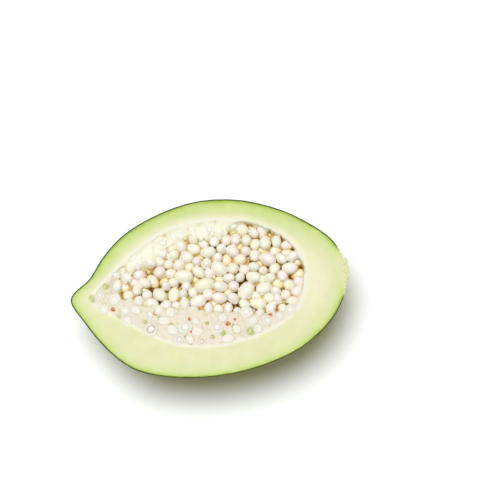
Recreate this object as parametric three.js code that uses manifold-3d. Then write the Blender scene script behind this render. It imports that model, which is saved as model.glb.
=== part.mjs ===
// Half of a green papaya, cut lengthwise and lying on its back with the cut face up.
// The fruit is one solid of skin and flesh with its seed cavity. A mass of joined seeds and pulp
// fills the cavity, and the loose seeds lie in the hollow on top of that mass.
// Millimetres, +Z up. X runs from the pointed blossom tip to the stem end, and the origin is
// under the middle of the half, on the surface that it lies on.
import * as THREE from "three";
import { mergeVertices } from "three/addons/utils/BufferGeometryUtils.js";
import Module from "manifold-3d";

const wasm = await Module();
wasm.setup();

// Outline of the fruit: distance from the tip, then half-widths to the far side (+Y), to the
// near side (-Y) and down into the back. The cut runs through the line where all are 0.
const FRUIT_STATIONS = [
  [0, 0, 0, 0],
  [1.6, 3.4, 4.2, 3.8],
  [6, 6.9, 11.7, 9.4],
  [12, 11.2, 21.7, 16.8],
  [20, 22.0, 32.2, 27.4],
  [32, 33.0, 42.2, 38.0],
  [50, 41.6, 48.0, 45.0],
  [72, 47.0, 50.4, 48.6],
  [96, 45.4, 48.3, 46.8],
  [118, 37.4, 41.7, 39.6],
  [134, 27.0, 31.6, 29.6],
  [144, 17.6, 20.4, 19.2],
  [149, 7.4, 9.0, 8.2],
  [150, 0, 0, 0],
];

// The seed cavity, in the same form. Its wall is 11 mm from the far side and 16 mm from the near.
const CAVITY_STATIONS = [
  [9.5, 0, 0, 0],
  [12, 3.0, 2.8, 2.8],
  [20, 9.8, 9.2, 9.0],
  [30, 18.6, 16.2, 16.0],
  [41, 26.4, 24.0, 23.0],
  [56, 33.6, 31.4, 30.0],
  [76, 36.6, 34.2, 33.4],
  [96, 34.2, 31.6, 31.6],
  [112, 27.2, 26.0, 26.0],
  [122, 18.4, 18.4, 18.0],
  [127.4, 8.0, 8.6, 8.2],
  [128.4, 0, 0, 0],
];

const RIDGES = 5; // a papaya is five-angled
const FIRST_RIDGE = Math.PI * 0.3; // from the far edge of the cut, down round the back
const CREST_SHARPNESS = 1.25; // 2 is a smooth wave, 1 a sharp edge
const RIDGE_HEIGHT = 0.055; // share of the radius
const TIP_RIDGE = { height: 0.05, at: 20, spread: 13 }; // ridges stand out more near the tip
const STEM_RIDGE = { height: 0.025, at: 138, spread: 9 };
const RESTING_CUT = 0.45; // depth of the small flat spot that the back lies on

const SCAR = { radius: 5.5, inside: 4, height: 0.8, sides: 20 }; // where the stalk was

const FRUIT_MESH = { rings: 40, sides: 60 };
const CAVITY_MESH = { rings: 26, sides: 36 };
const MASS_GAP = 0.35; // between the seed mass and the cavity wall

// The hollow on top of the seed mass, where the loose seeds lie, in the same form. The knife went
// through the tissue between it and the near side, and through the tip of the cavity.
const HOLLOW_STATIONS = [
  [19, 0, 0, 0],
  [23, 5, 3, 5],
  [32, 13, 5.5, 12],
  [44, 22, 9, 20],
  [60, 30, 12.5, 24],
  [78, 34, 16, 24],
  [96, 32, 20, 24],
  [112, 25, 22, 22],
  [121, 16.5, 15, 14],
  [125.6, 7, 7, 7],
  [126.6, 0, 0, 0],
];
const HOLLOW_DEPTH = 5.8;

const SEED = { shortest: 5.6, longest: 7.6, slimness: 0.84, eggShape: 0.12 };
const SEED_TILT = { big: 0.2, other: 1.2 }; // widest range of the long axis's slope
const SEED_MESH = { rings: 5, sides: 8 };
const PACKED_SEEDS = 150; // all that share the hollow
const LOOSE_SEEDS = 56; // the ones that stand highest, each a piece of its own
const SEED_GAP = 0.3;
const CUT_CLEARANCE = 0.15; // seeds stay this far under the knife's cut
const PACKING = {
  start: 11, // starts the random numbers
  candidates: 12, // places tried for each seed
  firstX: 26,
  lastX: 122.4,
  edge: 2.5, // from a seed's middle to the hollow's edge, at the least
  highest: -3,
  lowest: -8.6,
  push: 0.45, // share of an overlap that each of two seeds gives way by in a step
  rise: 0.02, // in each step, until the cut or another seed is in the way
  steps: 240,
};

// The largest seeds: distance from the tip, across (+ is the far side), length and turn in degrees.
const BIG_SEEDS = [
  [73, 1, 9.6, 10],
  [68.5, -8, 8.6, 20],
  [100.5, -13, 8.4, -10],
  [104.5, -5, 8.0, 15],
  [120, 4.5, 7.8, -5],
  [118.5, -2.5, 9.0, 5],
  [109, 11, 8.2, -35],
  [82, 9, 9.0, -42],
  [95, -5, 9.8, 52],
  [62.5, 7, 9.2, -8],
];

const CUT_BOX = 200; // larger than the fruit, for the knife's cut

const SKIN_AND_FLESH = { color: 0xb9cf7c, roughness: 0.55, metalness: 0 };
const PULP = { color: 0xe9dcb8, roughness: 0.6, metalness: 0 };
const SEED_COAT = { color: 0xf3efdf, roughness: 0.35, metalness: 0 };

// A repeatable random number from 0 to 1.
let randomState = PACKING.start;
function random() {
  randomState = (randomState * 16807) % 2147483647;
  return randomState / 2147483647;
}

function bump(x, { height, at, spread }) {
  return height * Math.exp(-(((x - at) / spread) ** 2));
}

// 1 on a ridge and -1 midway between two ridges.
function crest(angle) {
  const off = Math.abs(Math.sin((RIDGES / 2) * (angle - FIRST_RIDGE)));
  return 1 - 2 * off ** CREST_SHARPNESS;
}

function ridgeScale(x, angle, share) {
  const height = share * (RIDGE_HEIGHT + bump(x, TIP_RIDGE) + bump(x, STEM_RIDGE));
  return (1 + height * crest(angle)) / (1 + height * crest(0));
}

// A closed skin through the stations. Angle 0 is the far side, and a quarter turn is straight down.
function lobedGeometry(stations, ridgeShare, { rings, sides }) {
  const widths = new THREE.CatmullRomCurve3(
    stations.map(([x, far, near]) => new THREE.Vector3(x, far, near)),
    false,
    "catmullrom",
  );
  const depths = new THREE.CatmullRomCurve3(
    stations.map(([x, , , deep]) => new THREE.Vector3(x, deep, 0)),
    false,
    "catmullrom",
  );
  const position = [stations[0][0], 0, 0];
  for (let i = 1; i < rings; i++) {
    const { x, y: far, z: near } = widths.getPoint(i / rings);
    const deep = depths.getPoint(i / rings).y;
    for (let j = 0; j < sides; j++) {
      const angle = (2 * Math.PI * j) / sides;
      const ridge = ridgeScale(x, angle, ridgeShare);
      const side = Math.cos(angle) > 0 ? far : near;
      position.push(x, side * Math.cos(angle) * ridge, -deep * Math.sin(angle) * ridge);
    }
  }
  position.push(stations.at(-1)[0], 0, 0);
  const last = position.length / 3 - 1;
  const index = [];
  for (let j = 0; j < sides; j++) {
    const next = (j + 1) % sides;
    index.push(0, 1 + j, 1 + next);
    for (let i = 0; i < rings - 2; i++) {
      const [a, b] = [1 + i * sides + j, 1 + i * sides + next];
      index.push(a, a + sides, b, b, a + sides, b + sides);
    }
    const lastRing = 1 + (rings - 2) * sides;
    index.push(lastRing + j, last, lastRing + next);
  }
  const geometry = new THREE.BufferGeometry();
  geometry.setAttribute("position", new THREE.Float32BufferAttribute(position, 3));
  geometry.setIndex(index);
  return geometry;
}

function solidOf(geometry, matrix = new THREE.Matrix4()) {
  const bare = geometry.clone().applyMatrix4(matrix);
  bare.deleteAttribute("normal");
  bare.deleteAttribute("uv");
  const merged = mergeVertices(bare, 1e-3);
  const vertProperties = new Float32Array(merged.attributes.position.array);
  const triVerts = new Uint32Array(merged.index.array);
  return new wasm.Manifold(new wasm.Mesh({ numProp: 3, vertProperties, triVerts }));
}

function geometryOf(solid) {
  const { vertProperties, triVerts } = solid.getMesh();
  const geometry = new THREE.BufferGeometry();
  geometry.setAttribute("position", new THREE.BufferAttribute(vertProperties, 3));
  geometry.setIndex(new THREE.BufferAttribute(triVerts, 1));
  geometry.computeVertexNormals();
  return geometry;
}

// A block that fills everything above or below a height.
function blockFrom(z, way) {
  const box = new THREE.BoxGeometry(2 * CUT_BOX, 2 * CUT_BOX, CUT_BOX);
  return solidOf(box, new THREE.Matrix4().makeTranslation(0, 0, z + (way * CUT_BOX) / 2));
}

function largestPart(solid) {
  return solid.decompose().reduce((a, b) => (a.volume() > b.volume() ? a : b));
}

// The stalk's scar: a low disc on the blunt end.
function stemScar() {
  const end = FRUIT_STATIONS.at(-1)[0];
  const length = SCAR.inside + SCAR.height;
  const disc = new THREE.CylinderGeometry(SCAR.radius, SCAR.radius, length, SCAR.sides);
  const place = new THREE.Matrix4().makeTranslation(end + SCAR.height - length / 2, 0, 0);
  return solidOf(disc, place.multiply(new THREE.Matrix4().makeRotationZ(Math.PI / 2)));
}

// Skin and flesh: the whole fruit less its cavity, then halved, then flat where it lies.
function fruitHalf() {
  const whole = solidOf(lobedGeometry(FRUIT_STATIONS, 1, FRUIT_MESH)).add(stemScar());
  const cavity = solidOf(lobedGeometry(CAVITY_STATIONS, 0, CAVITY_MESH));
  const half = whole.subtract(cavity).subtract(blockFrom(0, 1));
  const lowest = half.boundingBox().min[2];
  return half.subtract(blockFrom(lowest + RESTING_CUT, -1));
}

// Half-width of a station list at x, on the side of y.
function halfWidth(stations, x, y) {
  const after = stations.findIndex(([at]) => at > x);
  const [low, high] = [stations[after - 1], stations[after]];
  const side = y > 0 ? 1 : 2;
  return THREE.MathUtils.mapLinear(x, low[0], high[0], low[side], high[side]);
}

function newSeed(centre, length, turn, fixed) {
  const long = length / 2;
  const slope = (random() - 0.5) * (fixed ? SEED_TILT.big : SEED_TILT.other);
  const axis = new THREE.Vector3(Math.cos(turn), Math.sin(turn), slope).normalize();
  return { centre, axis, long, short: long * SEED.slimness, fixed };
}

function bigSeed([x, y, length, turn]) {
  const centre = new THREE.Vector3(x, y, (-length / 2) * SEED.slimness - CUT_CLEARANCE);
  return newSeed(centre, length, THREE.MathUtils.degToRad(turn), true);
}

function randomPlace() {
  const x = THREE.MathUtils.lerp(PACKING.firstX, PACKING.lastX, random());
  const far = halfWidth(HOLLOW_STATIONS, x, 1);
  const near = halfWidth(HOLLOW_STATIONS, x, -1);
  const y = THREE.MathUtils.lerp(-near, far, random());
  return new THREE.Vector3(x, y, THREE.MathUtils.lerp(PACKING.highest, PACKING.lowest, random()));
}

// Of a few random places, the one that is furthest from the seeds so far.
function freePlace(seeds) {
  const places = Array.from({ length: PACKING.candidates }, randomPlace);
  const room = (place) => Math.min(...seeds.map(({ centre }) => centre.distanceTo(place)));
  return places.reduce((a, b) => (room(a) > room(b) ? a : b));
}

// Big seeds by hand, then the rest spread evenly through the hollow.
function scatterSeeds() {
  const seeds = BIG_SEEDS.map(bigSeed);
  while (seeds.length < PACKED_SEEDS) {
    const length = THREE.MathUtils.lerp(SEED.shortest, SEED.longest, random());
    seeds.push(newSeed(freePlace(seeds), length, 2 * Math.PI * random(), false));
  }
  return seeds;
}

// The two balls that stand for a seed while it is packed.
function ballsOf(seed) {
  const reach = seed.long - seed.short;
  return [1, -1].map((end) => seed.centre.clone().addScaledVector(seed.axis, end * reach));
}

// Moves one end of a seed, which shifts and turns it.
function pushSeed(seed, end, move) {
  if (seed.fixed) return;
  seed.centre.addScaledVector(move, 0.5);
  const reach = seed.long - seed.short;
  seed.axis.multiplyScalar(reach).addScaledVector(move, 0.5 * end).normalize();
}

function separate(first, second) {
  const [ballsA, ballsB] = [ballsOf(first), ballsOf(second)];
  const room = first.short + second.short + SEED_GAP;
  const share = first.fixed || second.fixed ? 2 * PACKING.push : PACKING.push;
  for (const [i, a] of ballsA.entries()) {
    for (const [j, b] of ballsB.entries()) {
      const apart = a.clone().sub(b);
      const overlap = room - apart.length();
      if (overlap <= 0) continue;
      apart.setLength(overlap * share);
      pushSeed(first, i ? -1 : 1, apart);
      pushSeed(second, j ? -1 : 1, apart.negate());
    }
  }
}

// Lets a seed rise, and keeps it under the cut and inside the hollow's edge.
function confine(seed) {
  const { centre, axis, long, short } = seed;
  const highest = -Math.abs(axis.z) * (long - short) - short - CUT_CLEARANCE;
  centre.z = THREE.MathUtils.clamp(centre.z + PACKING.rise, PACKING.lowest, highest);
  centre.x = THREE.MathUtils.clamp(centre.x, PACKING.firstX, PACKING.lastX);
  const room = halfWidth(HOLLOW_STATIONS, centre.x, centre.y) - PACKING.edge;
  centre.y = THREE.MathUtils.clamp(centre.y, -room, room);
}

function packSeeds() {
  const seeds = scatterSeeds();
  for (let step = 0; step < PACKING.steps; step++) {
    for (let i = 0; i < seeds.length; i++) {
      for (let j = i + 1; j < seeds.length; j++) {
        if (seeds[i].centre.distanceTo(seeds[j].centre) < 2 * SEED.longest) {
          separate(seeds[i], seeds[j]);
        }
      }
    }
    seeds.filter((seed) => !seed.fixed).forEach(confine);
  }
  return seeds;
}

// True if a seed keeps at least half of the gap to every seed in a list.
function standsClear(seed, others) {
  return others.every((other) => {
    const room = seed.short + other.short + SEED_GAP / 2;
    return ballsOf(seed).every((a) => ballsOf(other).every((b) => a.distanceTo(b) > room));
  });
}

function pickLooseSeeds(seeds) {
  const loose = [];
  const top = ({ centre, short }) => centre.z + short;
  const byHeight = [...seeds].sort((a, b) => b.fixed - a.fixed || top(b) - top(a));
  for (const seed of byHeight) {
    if (loose.length < LOOSE_SEEDS && standsClear(seed, loose)) loose.push(seed);
  }
  return loose.sort((a, b) => a.centre.x - b.centre.x);
}

// An egg on the Y axis, which turns to lie along the seed's own axis.
function seedGeometry({ long, short }) {
  const profile = [];
  for (let i = 0; i <= SEED_MESH.rings; i++) {
    const angle = Math.PI * (i / SEED_MESH.rings - 0.5);
    const radius = short * Math.cos(angle) * (1 + SEED.eggShape * Math.sin(angle));
    const onAxis = i === 0 || i === SEED_MESH.rings;
    profile.push(new THREE.Vector2(onAxis ? 0 : radius, long * Math.sin(angle)));
  }
  return new THREE.LatheGeometry(profile, SEED_MESH.sides);
}

function seedTurn(seed) {
  return new THREE.Quaternion().setFromUnitVectors(new THREE.Vector3(0, 1, 0), seed.axis);
}

function seedSolid(seed, grow) {
  const grown = { long: seed.long + grow, short: seed.short + grow };
  const size = new THREE.Vector3(1, 1, 1);
  return solidOf(
    seedGeometry(grown),
    new THREE.Matrix4().compose(seed.centre, seedTurn(seed), size),
  );
}

// The cavity's stations with a gap all round, which is longer at the pointed end.
function fillingStations() {
  const stations = CAVITY_STATIONS.map(([x, ...widths]) => [
    x,
    ...widths.map((width) => Math.max(0, width - MASS_GAP)),
  ]);
  stations[0][0] += 3 * MASS_GAP;
  stations.at(-1)[0] -= MASS_GAP;
  return stations;
}

// Pulp and joined seeds: the cavity's filling, hollowed on top, with a pocket for each loose seed.
function seedMass(seeds, loose) {
  const above = blockFrom(0, 1);
  const filling = solidOf(lobedGeometry(fillingStations(), 0, CAVITY_MESH)).subtract(above);
  const hollow = solidOf(lobedGeometry(HOLLOW_STATIONS, 0, CAVITY_MESH)).subtract(
    blockFrom(-HOLLOW_DEPTH, -1),
  );
  const bedded = seeds.filter((seed) => !loose.includes(seed)).map((seed) => seedSolid(seed, 0));
  const pockets = loose.map((seed) => seedSolid(seed, SEED_GAP));
  const mass = wasm.Manifold.union([filling.subtract(hollow), ...bedded]).intersect(filling);
  return largestPart(mass.subtract(wasm.Manifold.union(pockets)));
}

function namedMesh(name, geometry, look) {
  const mesh = new THREE.Mesh(geometry, new THREE.MeshStandardMaterial(look));
  mesh.name = name;
  return mesh;
}

const papaya = new THREE.Group();
const seeds = packSeeds();
const looseSeeds = pickLooseSeeds(seeds);

const half = namedMesh("fruit_half", geometryOf(fruitHalf()), SKIN_AND_FLESH);
papaya.add(half);
papaya.add(namedMesh("seed_mass", geometryOf(seedMass(seeds, looseSeeds)), PULP));
looseSeeds.forEach((seed, i) => {
  const name = `seed_${String(i + 1).padStart(2, "0")}`;
  const mesh = namedMesh(name, seedGeometry(seed), SEED_COAT);
  mesh.position.copy(seed.centre);
  mesh.quaternion.copy(seedTurn(seed));
  papaya.add(mesh);
});

// The origin is under the middle of the half, at the height of its resting spot.
const box = new THREE.Box3().setFromObject(half, true);
const middle = box.getCenter(new THREE.Vector3());
papaya.position.set(-middle.x, -middle.y, -box.min.z);

export default papaya;
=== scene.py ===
"""The looks of a green papaya half, cut lengthwise and lying on its back with the cut face up.

Metres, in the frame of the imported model: X from the pointed tip to the stem end, Z up. Peel and
flesh are sampled from the model's own solid, and the loose seeds are shaped round its seed nodes.
"""
import math

import bpy
import numpy as np
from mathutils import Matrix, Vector, noise
from mathutils.bvhtree import BVHTree


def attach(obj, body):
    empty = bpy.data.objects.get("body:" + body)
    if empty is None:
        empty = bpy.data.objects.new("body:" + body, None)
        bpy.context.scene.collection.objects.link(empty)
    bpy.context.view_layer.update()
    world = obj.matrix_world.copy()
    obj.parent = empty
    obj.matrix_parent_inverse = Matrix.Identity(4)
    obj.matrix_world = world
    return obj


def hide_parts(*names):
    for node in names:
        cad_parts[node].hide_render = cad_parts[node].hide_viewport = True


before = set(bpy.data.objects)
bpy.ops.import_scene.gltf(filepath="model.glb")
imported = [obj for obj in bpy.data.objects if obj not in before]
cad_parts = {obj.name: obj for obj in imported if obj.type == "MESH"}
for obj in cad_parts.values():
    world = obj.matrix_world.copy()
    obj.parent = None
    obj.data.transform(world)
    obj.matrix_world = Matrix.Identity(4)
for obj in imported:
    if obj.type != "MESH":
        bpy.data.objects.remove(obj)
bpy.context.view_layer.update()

MM = 0.001
BODY = "root"
LENGTH = 150 * MM  # from the tip to the rim at the stem end

# Where the tip and the stem end lie in the photograph's 500 by 500 pixels.
PHOTO_SIDE = 500
TIP_PIXEL = (71, 301)
STEM_PIXEL = (346, 268)
CAMERA_ELEVATION = math.radians(76)
LENS = 120 * MM
SENSOR = 36 * MM

# How bright a white surface is under these lights: on the cut face, among the seeds, on the sides.
OPEN_LIGHT = 1.28
SEED_LIGHT = 1.10
PEEL_LIGHT = 0.85

# A faint warm light from all sides and one large cool softbox. In metres and watts.
GLOW_COLOUR = (1.0, 0.93, 0.60)
GLOW_STRENGTH = 0.30
SOFTBOX_COLOUR = (0.95, 0.98, 1.06)
SOFTBOX_SIZE = 1.58
SOFTBOX_POWER = 88
SOFTBOX_PLACE = (-0.29, 0.31, 3.0)
FLOOR_REACH = 1.0  # from the middle to each edge
FAR_CLIP = 20

PEEL = 0.65 * MM  # thickness
AROUND = 480  # points round the rim
DOWN = 64  # rings from the rim to the middle of the back
FACE_RINGS = 22  # from the peel to the cavity
PULP_RINGS = 160
RIDGE_BLUR = 260  # passes that smooth the back's ridges away

SCAR_RADIUS = 5.8 * MM
SCAR_OFFSET = 1.6 * MM  # to the near side of the line from the tip
PALE_RIM = 13 * MM  # how far round the scar's middle the peel's green line is missing

# The near edge of the hollow with the whole seeds. Along is the distance from the tip, and across
# the distance to the far side of the line from the tip to the stem end. All in millimetres.
HOLLOW_ALONG = (19, 23, 32, 44, 60, 78, 96, 112, 121, 125.6, 126.6)
HOLLOW_NEAR = (0, -3, -5.5, -9, -12.5, -16, -20, -22, -15, -7, 0)
HOLLOW_DEPTH = 9.5 * MM
TISSUE_SINKS = 0.18  # how far soft tissue sinks away from the wall, as a share of that depth

# Beyond this line, at the far left, soft tissue covers the seeds.
TISSUE_ALONG = (20, 30, 45, 53, 62, 72, 78, 86, 96, 108, 116)
TISSUE_ACROSS = (6, 12, 13.5, 18.5, 24, 25, 23, 25, 30, 32, 36)

# Seeds that the knife went through: along, across, radius, in millimetres.
RINGED_SEEDS = [
    (16.5, 1.3, 2.6), (23.8, -1.8, 3.0), (17.8, -6.7, 2.5), (29.0, -8.6, 2.4), (29.4, -14.3, 2.9),
    (41.8, -20.3, 4.0), (56.2, -27.8, 2.7), (60.2, -21.5, 3.5), (67.9, -30.3, 2.1),
    (76.9, -23.6, 3.1), (93.7, -17.5, 3.3), (104.2, -23.0, 2.7), (117.2, -18.9, 2.8),
    (111.1, -21.5, 2.4),
]

# Deep gaps between the seeds: along, across, radius, in millimetres.
GAPS = [
    (41, 3, 2.5), (45, 0.5, 2), (48.5, -5.5, 2.2), (52.5, 0, 2.4), (58.5, 2, 2.6), (54, 21, 3.2),
    (64.5, 7.5, 1.8), (70, 4.5, 2.2), (76, 14, 2), (80.5, -8, 2), (82.5, 1.5, 2.8), (88, 14, 1.8),
    (89, 28, 1.5), (86, -6, 2.4), (92, -1.5, 2.6), (95.5, 1.5, 2.4), (99.5, -5, 2.6), (99, 20.5, 2.4),
    (105.5, 19.5, 2.8), (113, 19.5, 2.8), (108, 10.5, 2.8), (99, 14, 2), (115.5, 5.5, 2.4),
    (105.5, 4, 1.8), (105.5, -14, 2.2), (114.5, -5.5, 2.8), (121, -9.5, 2.4), (124.5, 2, 2.6),
    (124, 7, 1.8), (123.5, 13, 3), (122.5, 16, 3), (118.5, 22, 2.4), (111, 26.5, 2.6), (98.5, -16, 2.4),
]

# Stains in the sliced tissue: along, across, radius, in millimetres.
GREEN_STAINS = [
    (20.3, 5.9, 2.8), (11.4, -0.3, 3.2), (25.4, -11.6, 1.7), (52.8, -19.5, 2.0), (94.4, -28.0, 3.4),
    (84.3, -30.7, 1.4), (61.9, -30.7, 1.3), (80, -27.5, 2.4), (74, -28.6, 1.8), (39, -16, 2.0),
    (86, -24, 1.5), (67, -25.5, 1.6), (47, -14.5, 1.6), (72, -21, 1.4),
]
RED_STAINS = [
    (22.6, -7.3, 1.8), (44.9, -12.3, 1.5), (63.2, -24.1, 1.6), (83.0, -22.6, 1.9), (60, -26.8, 1.3),
    (67.9, -30.3, 1.4), (110, -17, 2.2), (106, -20.5, 1.8), (112, -15.5, 1.8), (87, -20.5, 1.2),
    (63, -17.5, 1.4), (99, -18.5, 1.6),
]

# How far up a seed's half-width the membranes reach, and how much further in the soft tissue.
MEMBRANE_RISE = 0.58
TISSUE_RISE = 0.44

WHOLE_SEEDS = 212
BAND_SEEDS = 30
SPOTS_TRIED = 26  # for each whole seed, to take the most open one
BAND_OVERLAP = 2 * MM  # how far sliced seeds reach in among whole ones
CLEARANCE = 0.97  # least distance between cut discs, as a share of their radii together
SEED_LENGTH = (7.0 * MM, 9.2 * MM)
SEED_SLIMNESS = 0.74
WHOLE_BELOW = (2.8, 10.5)  # millimetres under the cut
GAP_RADIUS = 1.0 * MM  # what the seeds keep clear of at each deep gap
SEED_RINGS = 15
SEED_SIDES = 22

# Where whole seeds, sliced seeds and the ridges of slim seeds lie, in millimetres from the tip.
SEEDS_ALONG = (24, 125)
BAND_ALONG = (24, 122)
RIDGES_ALONG = ((30, 49), (70, 89))
RIDGE_STEP = 3.4

# Where seeds may be pushed: along from the tip, down from the cut, and clear of walls and edge.
LAST_SEED = 124 * MM
LAST_SLICED = 119 * MM
DEEPEST = 11 * MM
FAR_WALL_GAP = 2.4 * MM
NEAR_WALL_GAP = 2.6 * MM
EDGE_GAP = 2 * MM
UNDER_TISSUE = 8 * MM  # how far whole seeds reach under the soft tissue

# Pushing seeds apart: rounds, the least distance as a share of two half-widths, the share of an
# overlap mended in a round, and how far free seeds rise in it.
SETTLE_ROUNDS = 170
SETTLE_ROOM = 0.96
SETTLE_PUSH = 0.42
SETTLE_RISE = 0.03 * MM

# How far under the cut the flat of a cut seed lies, in millimetres.
CUT_SEED_DROP = (0.002, 0.007)
SLICED_SEED_DROP = (0.012, 0.024)
SLICED_CORE = 0.78  # least core in seeds that lost only their tops, so that no ring shows

STALK_CRUMBS = 260
CRUMB_RINGS = 4
CRUMB_SIDES = 8

rng = np.random.default_rng(7)


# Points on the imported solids

def node_points(name):
    return np.array([vertex.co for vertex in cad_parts[name].data.vertices])


def node_tree(name):
    faces = [tuple(face.vertices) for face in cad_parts[name].data.polygons]
    return BVHTree.FromPolygons(node_points(name).tolist(), faces)


fruit_points = node_points("fruit_half")
fruit_tree = node_tree("fruit_half")
CUT = fruit_points[:, 2].max()
TIP = fruit_points[fruit_points[:, 0].argmin()]
TIP[2] = CUT
MIDDLE = np.array((0.6 * MM, TIP[1], CUT))  # of the rays and rings that everything is drawn on
REACH = 120 * MM  # from the middle to well outside the fruit


def smoothstep(value, low, high):
    t = np.clip((value - low) / (high - low), 0, 1)
    return t * t * (3 - 2 * t)


def unit(vectors):
    return vectors / np.linalg.norm(vectors, axis=-1, keepdims=True)


def along(points):
    return points[..., 0] - TIP[0]


def across(points):
    return points[..., 1] - TIP[1]


def place(distance, side, below):
    """Points in the frame, from how far they are along, across and below the cut face."""
    return np.stack([TIP[0] + distance, TIP[1] + side, CUT - below], axis=-1)


def fractal(points, size):
    """Smooth noise of about -1 to 1 at each point, with features of the given size."""
    flat = points.reshape(-1, 3) / size
    values = [noise.fractal(Vector(point), 0.8, 2.0, 3) for point in flat]
    return np.array(values).reshape(points.shape[:-1])


def outline_angles():
    """Angles round the rim, closer together at the pointed tip, where the outline turns fast."""
    even = np.linspace(-math.pi, math.pi, AROUND, endpoint=False)
    return even - 0.55 * np.sin(even)


def directions(dips):
    """Unit vectors from the middle: one row for each dip below the cut, one column for each angle."""
    angle, dip = np.meshgrid(outline_angles(), dips)
    flat = np.cos(dip)
    return np.stack([flat * np.cos(angle), flat * np.sin(angle), -np.sin(dip)], axis=-1)


def cast(rays, outside):
    """Distance from the middle to the solid along each ray, to its outer skin or to its cavity."""
    found = np.zeros(rays.shape[:2])
    middle = Vector(MIDDLE)
    for spot in np.ndindex(found.shape):
        ray = Vector(rays[spot])
        start = middle + ray * REACH if outside else middle
        distance = fruit_tree.ray_cast(start, -ray if outside else ray)[3]
        found[spot] = REACH - distance if outside else distance
    return found


def blur(radii, passes):
    """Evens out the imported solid's facets, round each ring and then from ring to ring."""
    for _ in range(passes):
        radii = (np.roll(radii, 1, 1) + 2 * radii + np.roll(radii, -1, 1)) / 4
        inner = (radii[:-2] + 2 * radii[1:-1] + radii[2:]) / 4
        radii = np.concatenate([radii[:1], inner, radii[-1:]])
    return radii


LEAST_DIP = math.radians(0.4)  # rays in the cut's own plane would graze its edges
dips = np.linspace(0, math.pi / 2, DOWN)
rays = directions(dips)
slanted = directions(np.clip(dips, LEAST_DIP, None))
outer = MIDDLE + rays * blur(cast(slanted, True), 2)[..., None]
cavity = MIDDLE + rays * blur(cast(slanted, False), 2)[..., None]
outer[..., 2] = np.clip(outer[..., 2], 0, CUT)


def wall_across(distance, far):
    """Across the cut face, where the cavity's far or near wall is at each distance from the tip."""
    loop = cavity[0]
    side = across(loop) > 0 if far else across(loop) < 0
    order = np.argsort(along(loop)[side])
    return np.interp(distance, along(loop)[side][order], across(loop)[side][order])


def distance_to_loop(points, loop):
    """Shortest way from each point to a closed loop of points in the cut plane."""
    start = loop[None, :, :2]
    step = np.roll(loop, -1, axis=0)[None, :, :2] - start
    found = []
    for part in np.array_split(points.reshape(-1, 3)[:, :2], 24):
        offset = part[:, None] - start
        share = np.clip((offset * step).sum(-1) / (step * step).sum(-1), 0, 1)
        found.append(np.linalg.norm(offset - share[..., None] * step, axis=-1).min(1))
    return np.concatenate(found).reshape(points.shape[:-1])


# Mesh making

def grid_faces(rows, columns, first=0, flip=False):
    """Faces of a grid whose columns wrap round, for points stored row by row."""
    row, column = np.meshgrid(np.arange(rows - 1), np.arange(columns), indexing="ij")
    following = (column + 1) % columns
    here = first + row * columns
    faces = [here + column, here + columns + column, here + columns + following, here + following]
    faces = np.stack(faces, axis=-1).reshape(-1, 4)
    return faces[:, ::-1] if flip else faces


def fan_faces(first, columns, pole, flip=False):
    """Triangles from a ring of points to one point."""
    column = np.arange(columns)
    faces = np.stack([first + column, np.full(columns, pole), first + (column + 1) % columns], -1)
    return faces[:, ::-1] if flip else faces


def listed(*grids):
    """The points of some grids in one list."""
    return np.concatenate([np.reshape(grid, (-1, 3)) for grid in grids])


def closed_faces(rows, columns, flip=False):
    """Faces of a grid that closes on a pole at each end, with the poles stored after it."""
    count = rows * columns
    return [
        grid_faces(rows, columns, flip=flip), fan_faces(0, columns, count, not flip),
        fan_faces(count - columns, columns, count + 1, flip),
    ]


def ball_angles(rings, sides):
    """How far along and round a ball each point of its grid is, without the two poles."""
    lift = np.linspace(-math.pi / 2, math.pi / 2, rings + 2)[1:-1]
    turn = np.linspace(0, 2 * math.pi, sides, endpoint=False)
    return np.meshgrid(lift, turn, indexing="ij")


def add_object(name, data):
    """Puts a mesh, a camera or a light into the scene."""
    item = bpy.data.objects.new(name, data)
    bpy.context.scene.collection.objects.link(item)
    return item


def add_mesh(name, points, faces, materials, floats=None, sharp=None):
    """An object from points and faces. Edges over the sharp angle, in degrees, stay sharp."""
    mesh = bpy.data.meshes.new(name)
    polygons = [tuple(face) for part in faces for face in part.tolist()]
    mesh.from_pydata(np.asarray(points).tolist(), [], polygons)
    for material in materials:
        mesh.materials.append(material)
    for key, values in (floats or {}).items():
        attribute = mesh.attributes.new(key, "FLOAT", "POINT")
        attribute.data.foreach_set("value", np.asarray(values, np.float32).ravel())
    mesh.polygons.foreach_set("use_smooth", [True] * len(mesh.polygons))
    if sharp:
        mesh.set_sharp_from_angle(angle=math.radians(sharp))
    mesh.update()
    return add_object(name, mesh)


# Shader helpers

def lit(red, green, blue, light):
    """The surface colour that shows as this 0 to 255 screen colour in this much light."""
    shares = [channel / 255 for channel in (red, green, blue)]
    linear = [s / 12.92 if s <= 0.04045 else ((s + 0.055) / 1.055) ** 2.4 for s in shares]
    return (*(channel / light for channel in linear), 1)


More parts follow.
